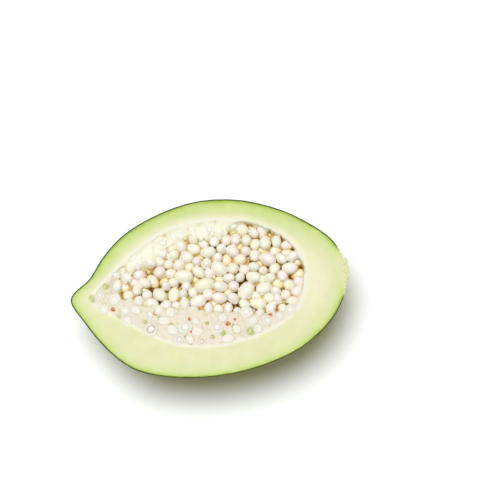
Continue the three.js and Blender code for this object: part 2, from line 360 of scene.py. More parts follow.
class Shader:
    """A material's node tree, with short ways to add and join nodes. It takes screen colours."""

    def __init__(self, name, light=OPEN_LIGHT):
        self.material = bpy.data.materials.new(name)
        self.material.use_nodes = True
        self.tree = self.material.node_tree
        self.surface = self.tree.nodes["Principled BSDF"]
        self.light = light

    def feed(self, value, socket):
        """Puts a number, a colour or another node's output into a socket."""
        if isinstance(value, (int, float)):
            socket.default_value = value
        elif isinstance(value, tuple):
            socket.default_value = lit(*value, self.light)
        else:
            self.tree.links.new(value, socket)

    def add(self, kind, inputs, output, **settings):
        """Adds a node with its inputs and settings, and gives one of its outputs."""
        node = self.tree.nodes.new(kind)
        for key, value in settings.items():
            setattr(node, key, value)
        for key, value in inputs.items():
            self.feed(value, node.inputs[key])
        return node.outputs[output]

    def attribute(self, name):
        return self.add("ShaderNodeAttribute", {}, "Fac", attribute_name=name)

    def position(self):
        return self.add("ShaderNodeNewGeometry", {}, "Position")

    def height(self):
        return self.add("ShaderNodeSeparateXYZ", {"Vector": self.position()}, "Z")

    def noise(self, size, detail=4.0, roughness=0.55, distortion=0.0):
        values = (self.position(), 1 / size, detail, roughness, distortion)
        keys = ("Vector", "Scale", "Detail", "Roughness", "Distortion")
        return self.add("ShaderNodeTexNoise", dict(zip(keys, values)), "Fac")

    def cells(self, size):
        inputs = {"Vector": self.position(), "Scale": 1 / size}
        return self.add("ShaderNodeTexVoronoi", inputs, "Distance")

    def ramp(self, value, stops, light=None):
        """Maps a value through stops of a position and a colour's red, green and blue."""
        node = self.tree.nodes.new("ShaderNodeValToRGB")
        elements = node.color_ramp.elements
        while len(elements) < len(stops):
            elements.new(0.5)
        for element, (position, *colour) in zip(elements, stops):
            element.position = position
            element.color = lit(*colour, light or self.light)
        self.feed(value, node.inputs["Fac"])
        return node.outputs["Color"]

    def span(self, value, low, high, to_low=0.0, to_high=1.0):
        keys = ("Value", "From Min", "From Max", "To Min", "To Max")
        inputs = dict(zip(keys, (value, low, high, to_low, to_high)))
        return self.add("ShaderNodeMapRange", inputs, "Result")

    def math(self, operation, first, second):
        return self.add("ShaderNodeMath", {0: first, 1: second}, "Value", operation=operation)

    def times(self, first, second):
        return self.math("MULTIPLY", first, second)

    def plus(self, first, second):
        return self.math("ADD", first, second)

    def mix(self, factor, first, second):
        """Mixes two colours. More sockets have the same names, so numbers pick them."""
        inputs = {0: factor, 6: first, 7: second}
        return self.add("ShaderNodeMix", inputs, 2, data_type="RGBA")

    def bump(self, height, distance, strength):
        inputs = {"Height": height, "Distance": distance, "Strength": strength}
        return self.add("ShaderNodeBump", inputs, "Normal")

    def finish(self, colour, roughness, normal=None, scatter=0.0, reach=None, **sockets):
        """Sets the surface: scatter is how much light enters it, and reach how far, in millimetres."""
        inputs = self.surface.inputs
        self.feed(colour, inputs["Base Color"])
        self.feed(roughness, inputs["Roughness"])
        if normal is not None:
            self.feed(normal, inputs["Normal"])
        inputs["Subsurface Weight"].default_value = scatter
        if reach:
            inputs["Subsurface Radius"].default_value = reach
            inputs["Subsurface Scale"].default_value = MM
        for key, value in sockets.items():
            inputs[key.replace("_", " ")].default_value = value
        return self.material


# Materials

def peel_material():
    """Clouded olive green, with crackled grey waxy bloom on the ridges, a pale crest line that is partly
    waxy bloom and partly painted highlight, specks and old scratches.
    """
    shader = Shader("peel", PEEL_LIGHT)
    tone = shader.noise(15 * MM, 6, 0.62, 0.6)
    green = shader.ramp(tone, [
        (0.30, 70, 88, 18), (0.44, 90, 110, 28),
        (0.56, 104, 124, 34), (0.72, 128, 140, 46),
    ])
    pale_clouds = shader.span(shader.noise(3 * MM, 9, 0.8), 0.52, 0.66)
    green = shader.mix(shader.times(pale_clouds, 0.6), green, (150, 160, 84))
    dark_clouds = shader.span(shader.noise(2.2 * MM, 8, 0.8, 0.5), 0.54, 0.64)
    green = shader.mix(shader.times(dark_clouds, 0.65), green, (54, 70, 12))
    crackle = shader.span(shader.noise(5 * MM, 10, 0.82, 1.2), 0.50, 0.56)
    patches = shader.span(shader.noise(20 * MM, 2), 0.60, 0.68, 0.0, 0.7)
    crest = shader.math("MAXIMUM", shader.attribute("crest"), patches)
    bloom = shader.times(shader.times(crest, crackle), 0.6)
    # The pale line along the ridge crests is partly waxy bloom and partly a painted highlight.
    worn = shader.span(shader.noise(3 * MM, 8, 0.8), 0.36, 0.52)
    line = shader.times(shader.times(shader.attribute("ridge"), worn), 0.8)
    wax_and_highlight = shader.math("MAXIMUM", bloom, line)
    green = shader.mix(wax_and_highlight, green, (172, 184, 138))
    pale_dots = shader.span(shader.cells(2.2 * MM), 0.15, 0.06)
    dark_dots = shader.span(shader.cells(3.1 * MM), 0.11, 0.05)
    where = shader.span(shader.noise(9 * MM), 0.46, 0.56)
    green = shader.mix(shader.times(pale_dots, where), green, (180, 184, 110))
    green = shader.mix(dark_dots, green, (50, 60, 16))
    scars = shader.span(shader.cells(14 * MM), 0.08, 0.04)
    green = shader.mix(shader.times(scars, 0.8), green, (140, 112, 58))
    crumbs = shader.ramp(shader.noise(1.3 * MM), [
        (0.34, 132, 122, 62), (0.5, 214, 212, 142), (0.64, 242, 238, 190),
    ], OPEN_LIGHT)
    scar = shader.attribute("scar")
    colour = shader.mix(scar, green, crumbs)
    rough = shader.span(shader.plus(wax_and_highlight, scar), 0, 1, 0.36, 0.68)
    pores = shader.times(shader.noise(0.9 * MM, 3), 0.3)
    height = shader.plus(shader.plus(tone, pores), shader.times(wax_and_highlight, 0.6))
    normal = shader.bump(height, 0.35 * MM, 0.6)
    return shader.finish(
        colour, rough, normal, 0.05, (0.8, 1.0, 0.4),
        Specular_IOR_Level=0.4, Coat_Weight=0.1, Coat_Roughness=0.35,
    )


def peel_edge_material():
    """The thin green line where the knife went through the peel, pale and crumbly at the stalk."""
    shader = Shader("peel_edge")
    green = shader.ramp(shader.noise(3 * MM), [(0.35, 62, 80, 12), (0.65, 96, 113, 28)])
    crumbs = shader.ramp(shader.noise(1.2 * MM), [
        (0.32, 176, 176, 90), (0.44, 232, 236, 140), (0.58, 248, 248, 188),
    ])
    colour = shader.mix(shader.attribute("pale_rim"), green, crumbs)
    return shader.finish(colour, 0.6, Specular_IOR_Level=0.1)


def flesh_material():
    """Cut flesh: green just inside the peel, through pale yellow green to cream beside the seeds."""
    shader = Shader("flesh")
    streaks = shader.noise(5 * MM, 5, 0.6)
    depth = shader.plus(shader.attribute("paleness"), shader.span(streaks, 0.3, 0.7, -0.03, 0.03))
    colour = shader.ramp(depth, [
        (0.0, 146, 172, 44), (0.07, 186, 209, 84), (0.16, 205, 223, 124),
        (0.30, 217, 231, 148), (0.45, 226, 234, 171), (0.62, 236, 236, 185),
        (0.80, 247, 244, 203), (0.92, 252, 249, 218), (1.0, 252, 250, 226),
    ])
    patches = shader.span(shader.noise(11 * MM, 3), 0.54, 0.70)
    colour = shader.mix(shader.times(patches, 0.35), colour, (236, 238, 158))
    cells = shader.noise(0.7 * MM, 4, 0.7)
    broad = shader.noise(9 * MM, 3)
    height = shader.plus(cells, shader.times(broad, 1.5))
    normal = shader.bump(height, 0.10 * MM, 0.3)
    rough = shader.span(shader.noise(6 * MM), 0.3, 0.7, 0.38, 0.52)
    return shader.finish(colour, rough, normal, 0.1, (1.0, 1.0, 0.5), Specular_IOR_Level=0.25)


def pulp_material():
    """Ivory membranes, lifted with painted light low down, pinker where sliced, amber in the gaps
    darkening with painted shade, with stains.
    """
    shader = Shader("pulp")
    mottle = shader.noise(4 * MM, 5, 0.6)
    # Painted light: lower in the hollow and in the soft tissue the cream is brighter, against the shade
    # that falls there.
    low = shader.ramp(mottle, [(0.35, 246, 240, 214), (0.65, 250, 246, 228)], SEED_LIGHT)
    cream = shader.mix(shader.attribute("low"), (250, 248, 226), low)
    sliced = shader.ramp(mottle, [
        (0.32, 228, 214, 176), (0.44, 243, 234, 208), (0.54, 246, 234, 218),
        (0.62, 239, 223, 198), (0.72, 250, 246, 228),
    ])
    colour = shader.mix(shader.attribute("sliced"), cream, sliced)
    uneven = shader.span(shader.noise(2 * MM), 0.3, 0.7, -0.08, 0.08)
    depth = shader.plus(shader.attribute("depth"), uneven)
    # The amber in the gaps is the pulp's own colour. The darkening towards near black, the deeper they go,
    # is painted shade.
    warm = shader.ramp(depth, [
        (0.08, 244, 230, 194), (0.22, 230, 194, 120), (0.42, 206, 146, 50),
        (0.66, 142, 86, 20), (0.95, 46, 30, 6),
    ])
    olive = shader.ramp(depth, [
        (0.08, 242, 236, 196), (0.24, 220, 210, 116), (0.52, 156, 140, 44),
        (0.95, 46, 44, 8),
    ])
    which = shader.span(shader.noise(7 * MM, 2), 0.50, 0.58)
    down = shader.mix(which, warm, olive)
    colour = shader.mix(shader.span(depth, 0.07, 0.22), colour, down)
    blotch = shader.span(shader.noise(2 * MM), 0.30, 0.55)
    green = shader.times(shader.attribute("green"), blotch)
    colour = shader.mix(green, colour, (182, 194, 92))
    fleck = shader.span(shader.noise(1.4 * MM), 0.36, 0.50)
    red = shader.times(shader.attribute("red"), fleck)
    amber = shader.ramp(red, [
        (0.15, 242, 214, 174), (0.5, 234, 168, 108), (0.85, 204, 120, 68),
    ])
    colour = shader.mix(shader.span(red, 0.08, 0.4), colour, amber)
    lumps = shader.noise(1.4 * MM, 4, 0.6)
    normal = shader.bump(lumps, 0.2 * MM, 0.35)
    return shader.finish(colour, 0.45, normal, 0.2, (1.5, 1.0, 0.6), Specular_IOR_Level=0.3)


def seed_material():
    """Wet ivory coats, turned amber lower down as painted shade. Where cut: clear jelly, a grey pink ring,
    a pale kernel.
    """
    shader = Shader("seed_coat", SEED_LIGHT)
    tint = shader.attribute("tint")
    coat = shader.ramp(tint, [
        (0.0, 251, 237, 234), (0.4, 251, 242, 235),
        (0.75, 250, 245, 231), (1.0, 246, 243, 220),
    ])
    shade = shader.span(shader.noise(2.4 * MM, 4, 0.6), 0.45, 0.75)
    coat = shader.mix(shader.times(shade, 0.25), coat, (244, 228, 198))
    # Painted shade: the coat turns amber the lower it lies under the cut, from 2.6 millimetres down and
    # most at 6.
    painted_warm_shade = shader.span(shader.height(), CUT - 6 * MM, CUT - 2.6 * MM, 0.85, 0.0)
    coat = shader.mix(painted_warm_shade, coat, (244, 212, 108))
    wobble = shader.span(shader.noise(1.3 * MM, 3), 0.3, 0.7, -0.09, 0.09)
    core = shader.plus(shader.attribute("core"), wobble)
    pale = shader.ramp(core, [
        (0.36, 248, 241, 230), (0.48, 243, 234, 217), (0.57, 228, 216, 197),
        (0.64, 241, 232, 213), (0.86, 244, 236, 218), (0.95, 239, 229, 208),
    ], OPEN_LIGHT)
    dark = shader.ramp(core, [
        (0.32, 250, 244, 235), (0.46, 228, 215, 198), (0.56, 184, 168, 147),
        (0.66, 228, 217, 197), (0.84, 246, 238, 221), (0.95, 236, 226, 203),
    ], OPEN_LIGHT)
    section = shader.mix(shader.span(tint, 0.55, 0.9), pale, dark)
    colour = shader.mix(shader.span(shader.attribute("core"), 1.0, 0.97), coat, section)
    normal = shader.bump(shader.noise(1.8 * MM, 3), 0.15 * MM, 0.3)
    return shader.finish(colour, 0.36, normal, 0.5, (2.0, 1.5, 0.9), Specular_IOR_Level=0.35)


def fibre_material():
    """Dried crumbs where the stalk broke off."""
    shader = Shader("stalk_crumb")
    colour = shader.ramp(shader.noise(1.5 * MM), [
        (0.30, 192, 186, 112), (0.42, 248, 248, 184), (0.60, 254, 253, 222),
    ])
    normal = shader.bump(shader.noise(0.6 * MM, 3), 0.2 * MM, 0.6)
    return shader.finish(colour, 0.75, normal)


# Peel and flesh

def normals_of(points):
    """Unit normals of a grid of points that wraps round, pointing out of the fruit."""
    around = np.roll(points, -1, 1) - np.roll(points, 1, 1)
    down = np.gradient(points, axis=0)
    normal = np.cross(around, -down)
    normal[-1] = (0, 0, -1)
    normal[0, :, 2] = 0
    return unit(normal)


def flat_normals(loop):
    """Unit normals of a loop in the cut plane, pointing out."""
    step = np.roll(loop, -1, 0) - np.roll(loop, 1, 0)
    normal = np.stack([step[:, 1], -step[:, 0], np.zeros(len(loop))], axis=-1)
    return unit(normal)


def scar_share(points, radius, softness=0.6 * MM):
    """1 within a radius of the stalk's scar at the stem end, 0 elsewhere, with a ragged edge."""
    from_axis = np.hypot(across(points) + SCAR_OFFSET, points[..., 2] - CUT)
    ragged = 0.9 * MM * fractal(points, 2.5 * MM)
    at_end = smoothstep(along(points), LENGTH / 2, LENGTH / 2 + 2 * MM)
    return at_end * smoothstep(from_axis + ragged, radius + softness, radius - softness)


def ridge_share(low, high):
    """1 on the ridges of the back and 0 between them, from how far they stand out."""
    radii = np.linalg.norm(outer - MIDDLE, axis=-1)
    return smoothstep(radii - blur(radii, RIDGE_BLUR), low, high)


def peel_surface():
    """The outside of the fruit with its small dents and swellings, flat where it rests."""
    normal = normals_of(outer)
    swell = 0.5 * MM * fractal(outer, 22 * MM) + 0.14 * MM * fractal(outer, 6 * MM)
    below_rim = 0.2 + 0.8 * smoothstep(CUT - outer[..., 2], 0, 4 * MM)
    crumbly = 0.4 * MM * scar_share(outer, SCAR_RADIUS) * fractal(outer, 1.6 * MM)
    swell += 0.3 * MM * ridge_share(1.5 * MM, 2.4 * MM)
    points = outer + normal * ((swell - 0.25 * MM) * below_rim + crumbly)[..., None]
    points[0, :, 2] = CUT
    points[..., 2] = np.clip(points[..., 2], 0, CUT)
    return points


outside = peel_surface()
inside = outside - normals_of(outside) * PEEL
inside[0] = outside[0] - flat_normals(outside[0]) * PEEL
inside[1:, :, 2] = np.minimum(inside[1:, :, 2], CUT - 0.05 * MM)


def add_peel():
    """A thin closed shell over the back, whose rim is flush with the cut."""
    rows = DOWN - 1
    size = rows * AROUND
    poles = [outside[-1].mean(0), inside[-1].mean(0)]
    points = listed(outside[:-1], inside[:-1], poles)
    rim = np.arange(AROUND)
    following = (rim + 1) % AROUND
    rim_faces = np.stack([rim, following, size + following, size + rim], axis=-1)
    last = (rows - 1) * AROUND
    faces = [
        grid_faces(rows, AROUND), fan_faces(last, AROUND, 2 * size),
        grid_faces(rows, AROUND, size, True), fan_faces(size + last, AROUND, 2 * size + 1, True),
        rim_faces,
    ]
    crest = ridge_share(-0.1 * MM, 1.2 * MM)[:-1].ravel()
    ridge = ridge_share(1.6 * MM, 2.3 * MM)[:-1].ravel()
    floats = {
        "crest": np.concatenate([crest, crest, (0, 0)]), "ridge": np.concatenate([ridge, ridge, (0, 0)]),
        "scar": scar_share(points, SCAR_RADIUS), "pale_rim": scar_share(points, PALE_RIM, 2 * MM),
    }
    materials = [peel_material(), peel_edge_material()]
    piece = add_mesh("peel", points, faces, materials, floats, 50)
    others = len(piece.data.polygons) - AROUND
    piece.data.polygons.foreach_set("material_index", [0] * others + [1] * AROUND)
    return piece


def paleness(points, from_peel, to_cavity):
    """0 beside the peel, then how far the colour has gone to cream. The stem end is palest."""
    far = smoothstep(across(points), -10 * MM, 25 * MM)
    stem = smoothstep(along(points), 112 * MM, 134 * MM)
    tip = 1 - smoothstep(along(points), 8 * MM, 24 * MM)
    from_scar = np.hypot(along(points) - LENGTH, across(points) + SCAR_OFFSET)
    scar = 1 - smoothstep(from_scar, PALE_RIM - 6 * MM, PALE_RIM + 2 * MM)
    level = 0.64 - 0.10 * far * (1 - stem) + 0.22 * stem
    reach = (3.2 + 2.8 * far + 2.4 * stem) * MM
    edge_width = (1.5 + 3.5 * far + 4 * tip) * MM
    edge = (0.2 + 0.2 * far) * (1 - smoothstep(to_cavity, 0, edge_width))
    return level * np.maximum(1 - np.exp(-from_peel / reach), 0.62 * scar) + edge


def add_flesh():
    """A closed solid: cut face, cavity wall, and the side that the peel covers."""
    share = np.linspace(0, 1, FACE_RINGS)[:, None, None]
    face = inside[0] * (1 - share) + cavity[0] * share
    from_peel = distance_to_loop(face, inside[0])
    to_cavity = distance_to_loop(face, cavity[0])
    calm = smoothstep(from_peel, 0, 2 * MM) * smoothstep(to_cavity, 0, 3 * MM)
    face[..., 2] = CUT - 0.045 * MM + 0.04 * MM * fractal(face, 6 * MM) * calm
    wall = cavity[1:-1]
    back = inside[1:-1]
    poles = [inside[-1].mean(0), cavity[-1].mean(0)]
    points = listed(back[::-1], face, wall, poles)
    faces = closed_faces(2 * (DOWN - 2) + FACE_RINGS, AROUND, True)
    pale = np.concatenate([
        np.zeros(back.shape[0] * AROUND), paleness(face, from_peel, to_cavity).ravel(),
        np.ones(wall.shape[0] * AROUND), (0, 1),
    ])
    return add_mesh("flesh", points, faces, [flesh_material()], {"paleness": pale}, 60)


# The cavity's zones

def near_edge(distance):
    """Across the cut face, where the whole seeds end and the sliced tissue of the near side begins."""
    return np.interp(distance / MM, HOLLOW_ALONG, HOLLOW_NEAR) * MM


def tissue_edge(distance):
    return np.interp(distance / MM, TISSUE_ALONG, TISSUE_ACROSS) * MM


def far_limit(distance):
    """Across the cut face, how far the whole seeds reach: to the wall or into the soft tissue."""
    return np.minimum(wall_across(distance, True) - FAR_WALL_GAP, tissue_edge(distance) + UNDER_TISSUE)


def tissue_share(points):
    """1 in the soft tissue at the far left, which covers its seeds, and 0 outside it."""
    return smoothstep(across(points) - tissue_edge(along(points)), -2.5 * MM, 4.5 * MM)


def sliced_share(points):
    """1 in the tissue that the knife sliced, along the near side and at the tip."""
    ragged = 2.2 * MM * fractal(points, 6 * MM)
    near = smoothstep(near_edge(along(points)) - across(points) + ragged, -3.2 * MM, 0.6 * MM)
    tip = 1 - smoothstep(along(points), 20 * MM, 30 * MM)
    return np.maximum(near, tip)


# Seeds

class Seeds:
    """Seeds as arrays: centres, long axes, half-lengths, half-widths, and least ways under the cut."""

    KEYS = ("centres", "axes", "long", "short", "ceiling")

    def __init__(self, centres, axes, long, short, ceiling=None):
        self.centres = np.array(centres)
        self.axes = unit(np.array(axes))
        self.long = np.array(long)
        self.short = np.array(short)
        self.ceiling = np.zeros(len(long)) if ceiling is None else ceiling

    def joined(self, *others):
        groups = (self, *others)
        return Seeds(*(np.concatenate([getattr(group, key) for group in groups]) for key in self.KEYS))

    def after(self, count):
        """All but the first few."""
        return Seeds(*(getattr(self, key)[count:] for key in self.KEYS))

    def __len__(self):
        return len(self.long)


def node_seeds(names):
    """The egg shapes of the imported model's loose seeds, a little longer and slimmer."""
    rows = []
    for name in names:
        points = node_points(name)
        middle = points.mean(0)
        axis = np.linalg.svd(points - middle, full_matrices=False)[2][0]
        share = (points - middle) @ axis
        beside = np.linalg.norm(points - middle - np.outer(share, axis), axis=1)
        centre = middle + axis * (share.max() + share.min()) / 2
        rows.append((centre, axis, 1.1 * (share.max() - share.min()) / 2, 0.98 * beside.max()))
    return Seeds(*zip(*rows))


def ringed_seeds():
    """The seeds that the knife went through near their middle, lying at random."""
    rows = []
    for distance, side, radius in RINGED_SEEDS:
        centre = place(distance * MM, side * MM, rng.uniform(0.1, 0.3) * radius * MM)
        axis = (rng.normal(), rng.normal(), 0.3)
        rows.append((centre, axis, radius * MM * rng.uniform(1.02, 1.2), radius * MM))
    return Seeds(*zip(*rows))


def band_seeds():
    """Seeds that lost only their tops: many along the whole seeds' edge, the rest nearer the wall."""
    distance = rng.uniform(*BAND_ALONG, BAND_SEEDS) * MM
    share = rng.uniform(0, 1, BAND_SEEDS) ** 0.5
    low = wall_across(distance, False) + 3 * MM
    side = low + share * (near_edge(distance) + BAND_OVERLAP - low)
    short = rng.uniform(2.3, 3.0, BAND_SEEDS) * MM
    below = short * rng.uniform(0.3, 0.8, BAND_SEEDS)
    axes = rng.normal(0, 1, (BAND_SEEDS, 3)) * (1, 1, 0.2)
    return Seeds(place(distance, side, below), axes, short / SEED_SLIMNESS, short)


def ridges():
    """Slim seeds that point at the far wall, under the soft tissue, of which only ridges show."""
    rows = []
    for first, last in RIDGES_ALONG:
        for distance in np.arange(first, last, RIDGE_STEP):
            half = rng.uniform(3.2, 4.6)
            side = wall_across(distance * MM, True) / MM - half - rng.uniform(2, 4)
            distance += rng.uniform(-0.6, 0.6)
            centre = place(distance * MM, side * MM, rng.uniform(2.0, 2.3) * MM)
            axis = (rng.uniform(-0.25, 0.1), 1, rng.uniform(-0.08, 0.08))
            rows.append((centre, axis, half * MM))
    return Seeds(*zip(*rows), rng.uniform(1.5, 1.8, len(rows)) * MM)


def gap_keepers():
    """Bodies that are never shown, which keep the seeds out of the deep gaps."""
    centres = [place(distance * MM, side * MM, 2.5 * MM) for distance, side, _ in GAPS]
    size = np.full(len(GAPS), GAP_RADIUS)
    return Seeds(centres, [(0, 0, 1)] * len(GAPS), 2 * size, size)


def whole_seeds(fixed):
    """Places for more whole seeds, each the most open of a few random ones."""
    centres = list(fixed.centres)
    for _ in range(WHOLE_SEEDS):
        distance = rng.uniform(*SEEDS_ALONG, SPOTS_TRIED) * MM
        low = near_edge(distance) + 1 * MM
        side = low + rng.uniform(0, 1, SPOTS_TRIED) * (far_limit(distance) - low)
        tries = place(distance, side, rng.uniform(*WHOLE_BELOW, SPOTS_TRIED) * MM)
        gaps = np.linalg.norm(tries[:, None] - np.array(centres)[None], axis=-1).min(1)
        centres.append(tries[gaps.argmax()])
    centres = np.array(centres[len(fixed):])
    upright = tissue_share(centres)
    turn = rng.uniform(-0.9, 0.9, WHOLE_SEEDS)
    lying = np.stack([np.cos(turn), np.sin(turn), rng.uniform(-0.4, 0.4, WHOLE_SEEDS)], axis=-1)
    standing = np.stack([-0.15 + 0.2 * turn, np.ones(WHOLE_SEEDS), 0.1 * turn], axis=-1)
    axes = lying * (1 - upright[:, None]) + standing * upright[:, None]
    long = rng.uniform(*SEED_LENGTH, WHOLE_SEEDS) / 2
    ceiling = rng.uniform(0.1, 2.0, WHOLE_SEEDS) * MM * (1 - 0.6 * upright)
    return Seeds(centres, axes, long, long * SEED_SLIMNESS, ceiling)


def confine(seeds, band, free):
    """Keeps band and free seeds in their parts of the cavity. Free ones rise until near the cut."""
    centres = seeds.centres
    distance = np.clip(along(centres), SEEDS_ALONG[0] * MM, LAST_SEED)
    distance[band] = np.minimum(distance[band], LAST_SLICED)
    edge = near_edge(distance)
    near = wall_across(distance, False) + NEAR_WALL_GAP
    side = np.clip(across(centres), edge + EDGE_GAP, far_limit(distance))
    side[band] = np.clip(across(centres), near, np.maximum(edge + BAND_OVERLAP, near))[band]
    for moving in (free, band):
        centres[moving, 0] = TIP[0] + distance[moving]
        centres[moving, 1] = TIP[1] + side[moving]
    tall = seeds.short + np.abs(seeds.axes[:, 2]) * (seeds.long - seeds.short)
    high = CUT - tall - seeds.ceiling
    centres[free, 2] = np.clip(centres[:, 2] + SETTLE_RISE, CUT - DEEPEST, high)[free]


def settle(seeds, band, free):
    """Pushes overlapping seeds apart. Each seed is two balls, and only band and free ones move."""
    count = len(seeds)
    reach = (seeds.long - seeds.short)[:, None]
    radius = np.tile(seeds.short, 2)
    room = SETTLE_ROOM * (radius[:, None] + radius[None])
    owner = np.arange(2 * count) % count
    same = np.equal.outer(owner, owner)
    level = seeds.centres[band, 2].copy()
    moving = np.concatenate([band, free])
    for _ in range(SETTLE_ROUNDS):
        balls = np.concatenate([seeds.centres + seeds.axes * reach, seeds.centres - seeds.axes * reach])
        apart = balls[:, None] - balls[None]
        distance = np.linalg.norm(apart, axis=-1) + 1e-9
        overlap = np.where(same, 0, np.clip(room - distance, 0, None))
        push = (apart * (SETTLE_PUSH * overlap / distance)[..., None]).sum(1)
        first, second = push[:count], push[count:]
        seeds.centres[moving] += 0.5 * (first + second)[moving]
        turned = seeds.axes * np.maximum(reach, 0.3 * MM) + 0.2 * (first - second)
        seeds.axes[moving] = unit(turned)[moving]
        confine(seeds, band, free)
        seeds.centres[band, 2] = level


def clear_of(seeds, cut_seeds, candidates):
    """The candidates whose cut discs lie clear of the given cut seeds and of each other."""
    kept = list(cut_seeds)
    for i in candidates:
        apart = np.linalg.norm(seeds.centres[kept, :2] - seeds.centres[i, :2], axis=1)
        if (apart > CLEARANCE * (seeds.short[kept] + seeds.short[i])).all():
            kept.append(i)
    return kept[len(cut_seeds):]


def seed_points(centre, axis, long, short, wobble, below_cut):
    """An egg of points round its axis, cut flat at the knife's plane, and how deep each is in it."""
    side = np.cross(axis, (0.3, 0.2, 1))
    side /= np.linalg.norm(side)
    third = np.cross(axis, side)
    angle, spin = ball_angles(SEED_RINGS, SEED_SIDES)
    egg = 1 + 0.09 * np.sin(angle)
    uneven = 1 + 0.03 * np.sin(2 * spin + wobble) + 0.025 * np.sin(3 * angle + 2 * wobble)
    width = short * np.cos(angle) * egg * uneven
    local = [long * np.sin(angle), width * np.cos(spin), width * np.sin(spin)]
    offsets = sum(part[..., None] * way for part, way in zip(local, (axis, side, third)))
    offsets = listed(offsets, [-long * axis, long * axis])
    room = CUT - below_cut - centre[2]
    cut = offsets[:, 2] > room
    offsets[cut, 2] = room
    inward = np.linalg.norm(offsets @ np.stack([axis / long, side / short, third / short], axis=1), axis=1)
    return centre + offsets, np.where(cut, np.clip(inward, 0, 0.96), 1.0)


def add_seeds(name, seeds, chosen, material, least_core=0.0, drop=CUT_SEED_DROP):
    """The chosen seeds as one piece, cut just under the knife's plane."""
    points, faces, tints, cores = [], [], [], []
    size = SEED_RINGS * SEED_SIDES + 2
    for step, i in enumerate(chosen):
        shape = seeds.centres[i], seeds.axes[i], seeds.long[i], seeds.short[i]
        corners, core = seed_points(*shape, rng.uniform(0, 6.28), rng.uniform(*drop) * MM)
        points.append(corners)
        cores.append(np.maximum(core, least_core))
        tints.append(np.full(size, rng.uniform(0, 1)))
        faces.extend(part + step * size for part in closed_faces(SEED_RINGS, SEED_SIDES, True))
    floats = {"tint": np.concatenate(tints), "core": np.concatenate(cores)}
    return add_mesh(name, listed(*points), faces, [material], floats, 60)


# Pulp

def spots(points, places):
    """1 at the middle of each place and 0 at its rim, for places given along, across and radius."""
    strength = np.zeros(points.shape[:-1])
    for distance, side, radius in places:
        gap = np.hypot(along(points) - distance * MM, across(points) - side * MM)
        strength = np.maximum(strength, 1 - smoothstep(gap, 0.35 * radius * MM, radius * MM))
    return strength


def bed(tissue, sliced, from_wall):
    """The pulp's height without seeds: flush where it was sliced, deep under the whole seeds."""
    tissue_depth = TISSUE_SINKS * smoothstep(from_wall, 0, 8 * MM)
    hollow = (1 - sliced) ** 2 * (1 - tissue * (1 - tissue_depth))
    return CUT - 0.035 * MM - HOLLOW_DEPTH * hollow


def membranes(points, seeds, tissue):
    """Height of the membranes that join the seeds, and how far each point is from the nearest seed."""
    flat = points.reshape(-1, 3)
    rise = MEMBRANE_RISE + TISSUE_RISE * tissue.ravel()
    lean = np.linalg.norm(seeds.axes[:, :2], axis=1)
    heading = seeds.axes[:, :2] / lean[:, None]
    shadow = np.hypot(seeds.long * lean, seeds.short * seeds.axes[:, 2])
    heights, gaps = [], []
    for part, share in zip(np.array_split(flat, 40), np.array_split(rise, 40)):
        offset = part[:, None, :2] - seeds.centres[None, :, :2]
        lengthways = (offset * heading).sum(-1) / shadow
        sideways = (offset[..., 0] * heading[:, 1] - offset[..., 1] * heading[:, 0]) / seeds.short
        spread = lengthways ** 2 + sideways ** 2
        levels = seeds.centres[:, 2] + seeds.short * (share[:, None] * (1 - 0.35 * spread) - 0.14 * spread)
        top = levels.max(1)
        softness = 0.35 * MM
        heights.append(top + softness * np.log(np.exp((levels - top[:, None]) / softness).sum(1)))
        gaps.append(spread[np.arange(len(part)), levels.argmax(1)])
    return [np.concatenate(parts).reshape(tissue.shape) for parts in (heights, gaps)]


def pulp_rings():
    """Points on rings from the cavity's wall to the middle, and how far each is from the wall."""
    loop = cavity[0] + flat_normals(cavity[0]) * 0.3 * MM
    loop[:, 2] = CUT
    share = np.linspace(1, 0, PULP_RINGS + 1)[:-1, None, None]
    top = MIDDLE + (loop - MIDDLE) * share
    return top, distance_to_loop(top, cavity[0]) * (share[..., 0] < 1)


def crevices(top, tissue):
    """How open the gaps between seeds are: widest at the deep gaps, least in soft tissue."""
    uneven = 0.22 + 0.42 * smoothstep(fractal(top, 6 * MM), -0.05, 0.35)
    return np.maximum(spots(top, GAPS), uneven) * (1 - 0.5 * tissue)


def pulp_top(seeds):
    """The pulp's upper surface, and its attributes."""
    top, from_wall = pulp_rings()
    tissue, sliced = tissue_share(top), sliced_share(top)
    whole = (1 - sliced) ** 2
    height, gap = membranes(top, seeds, tissue)
    gap = smoothstep(gap, 0.95, 1.4) * whole * (1 - 0.6 * tissue)
    crevice = crevices(top, tissue)
    height = np.maximum(height - gap * (0.3 + 5.0 * crevice) * MM, bed(tissue, sliced, from_wall))
    height += (0.12 + 0.22 * sliced) * MM * fractal(top, 2.4 * MM)
    green, red = spots(top, GREEN_STAINS), spots(top, RED_STAINS)
    height -= 0.5 * MM * np.maximum(green * 0.4, red)
    flush = CUT - 0.03 * MM
    edge = smoothstep(from_wall * (1 + 0.7 * fractal(top, 4 * MM)), 0.3 * MM, 2 * MM)
    top[..., 2] = flush * (1 - edge) + np.minimum(height, flush) * edge
    # Colour depth: open gaps and pulp far under the cut are painted darker as shade, and the slope behind
    # the seeds at the wall is painted amber, partly as shade.
    deep = smoothstep(CUT - top[..., 2], 5 * MM, 10 * MM)
    depth = np.maximum(gap * (0.08 + 0.92 * crevice), deep * (1 - sliced))
    behind = (1 - smoothstep(from_wall, 2 * MM, 4 * MM)) * whole * (1 - tissue) ** 2
    behind = behind * smoothstep(along(top), 88 * MM, 104 * MM)
    depth = np.maximum(depth, behind * (0.24 + 0.28 * fractal(top, 5 * MM))) * edge
    # Where the cream is painted brighter against the shade: lower under the cut, and in the soft tissue
    # away from the wall.
    low = smoothstep(CUT - top[..., 2], 0.3 * MM, 2.5 * MM)
    low = np.maximum(low, 0.8 * tissue * smoothstep(from_wall, 0.5 * MM, 4 * MM))
    floats = {"depth": depth, "low": low, "sliced": sliced * edge, "green": green, "red": red}
    return top, floats


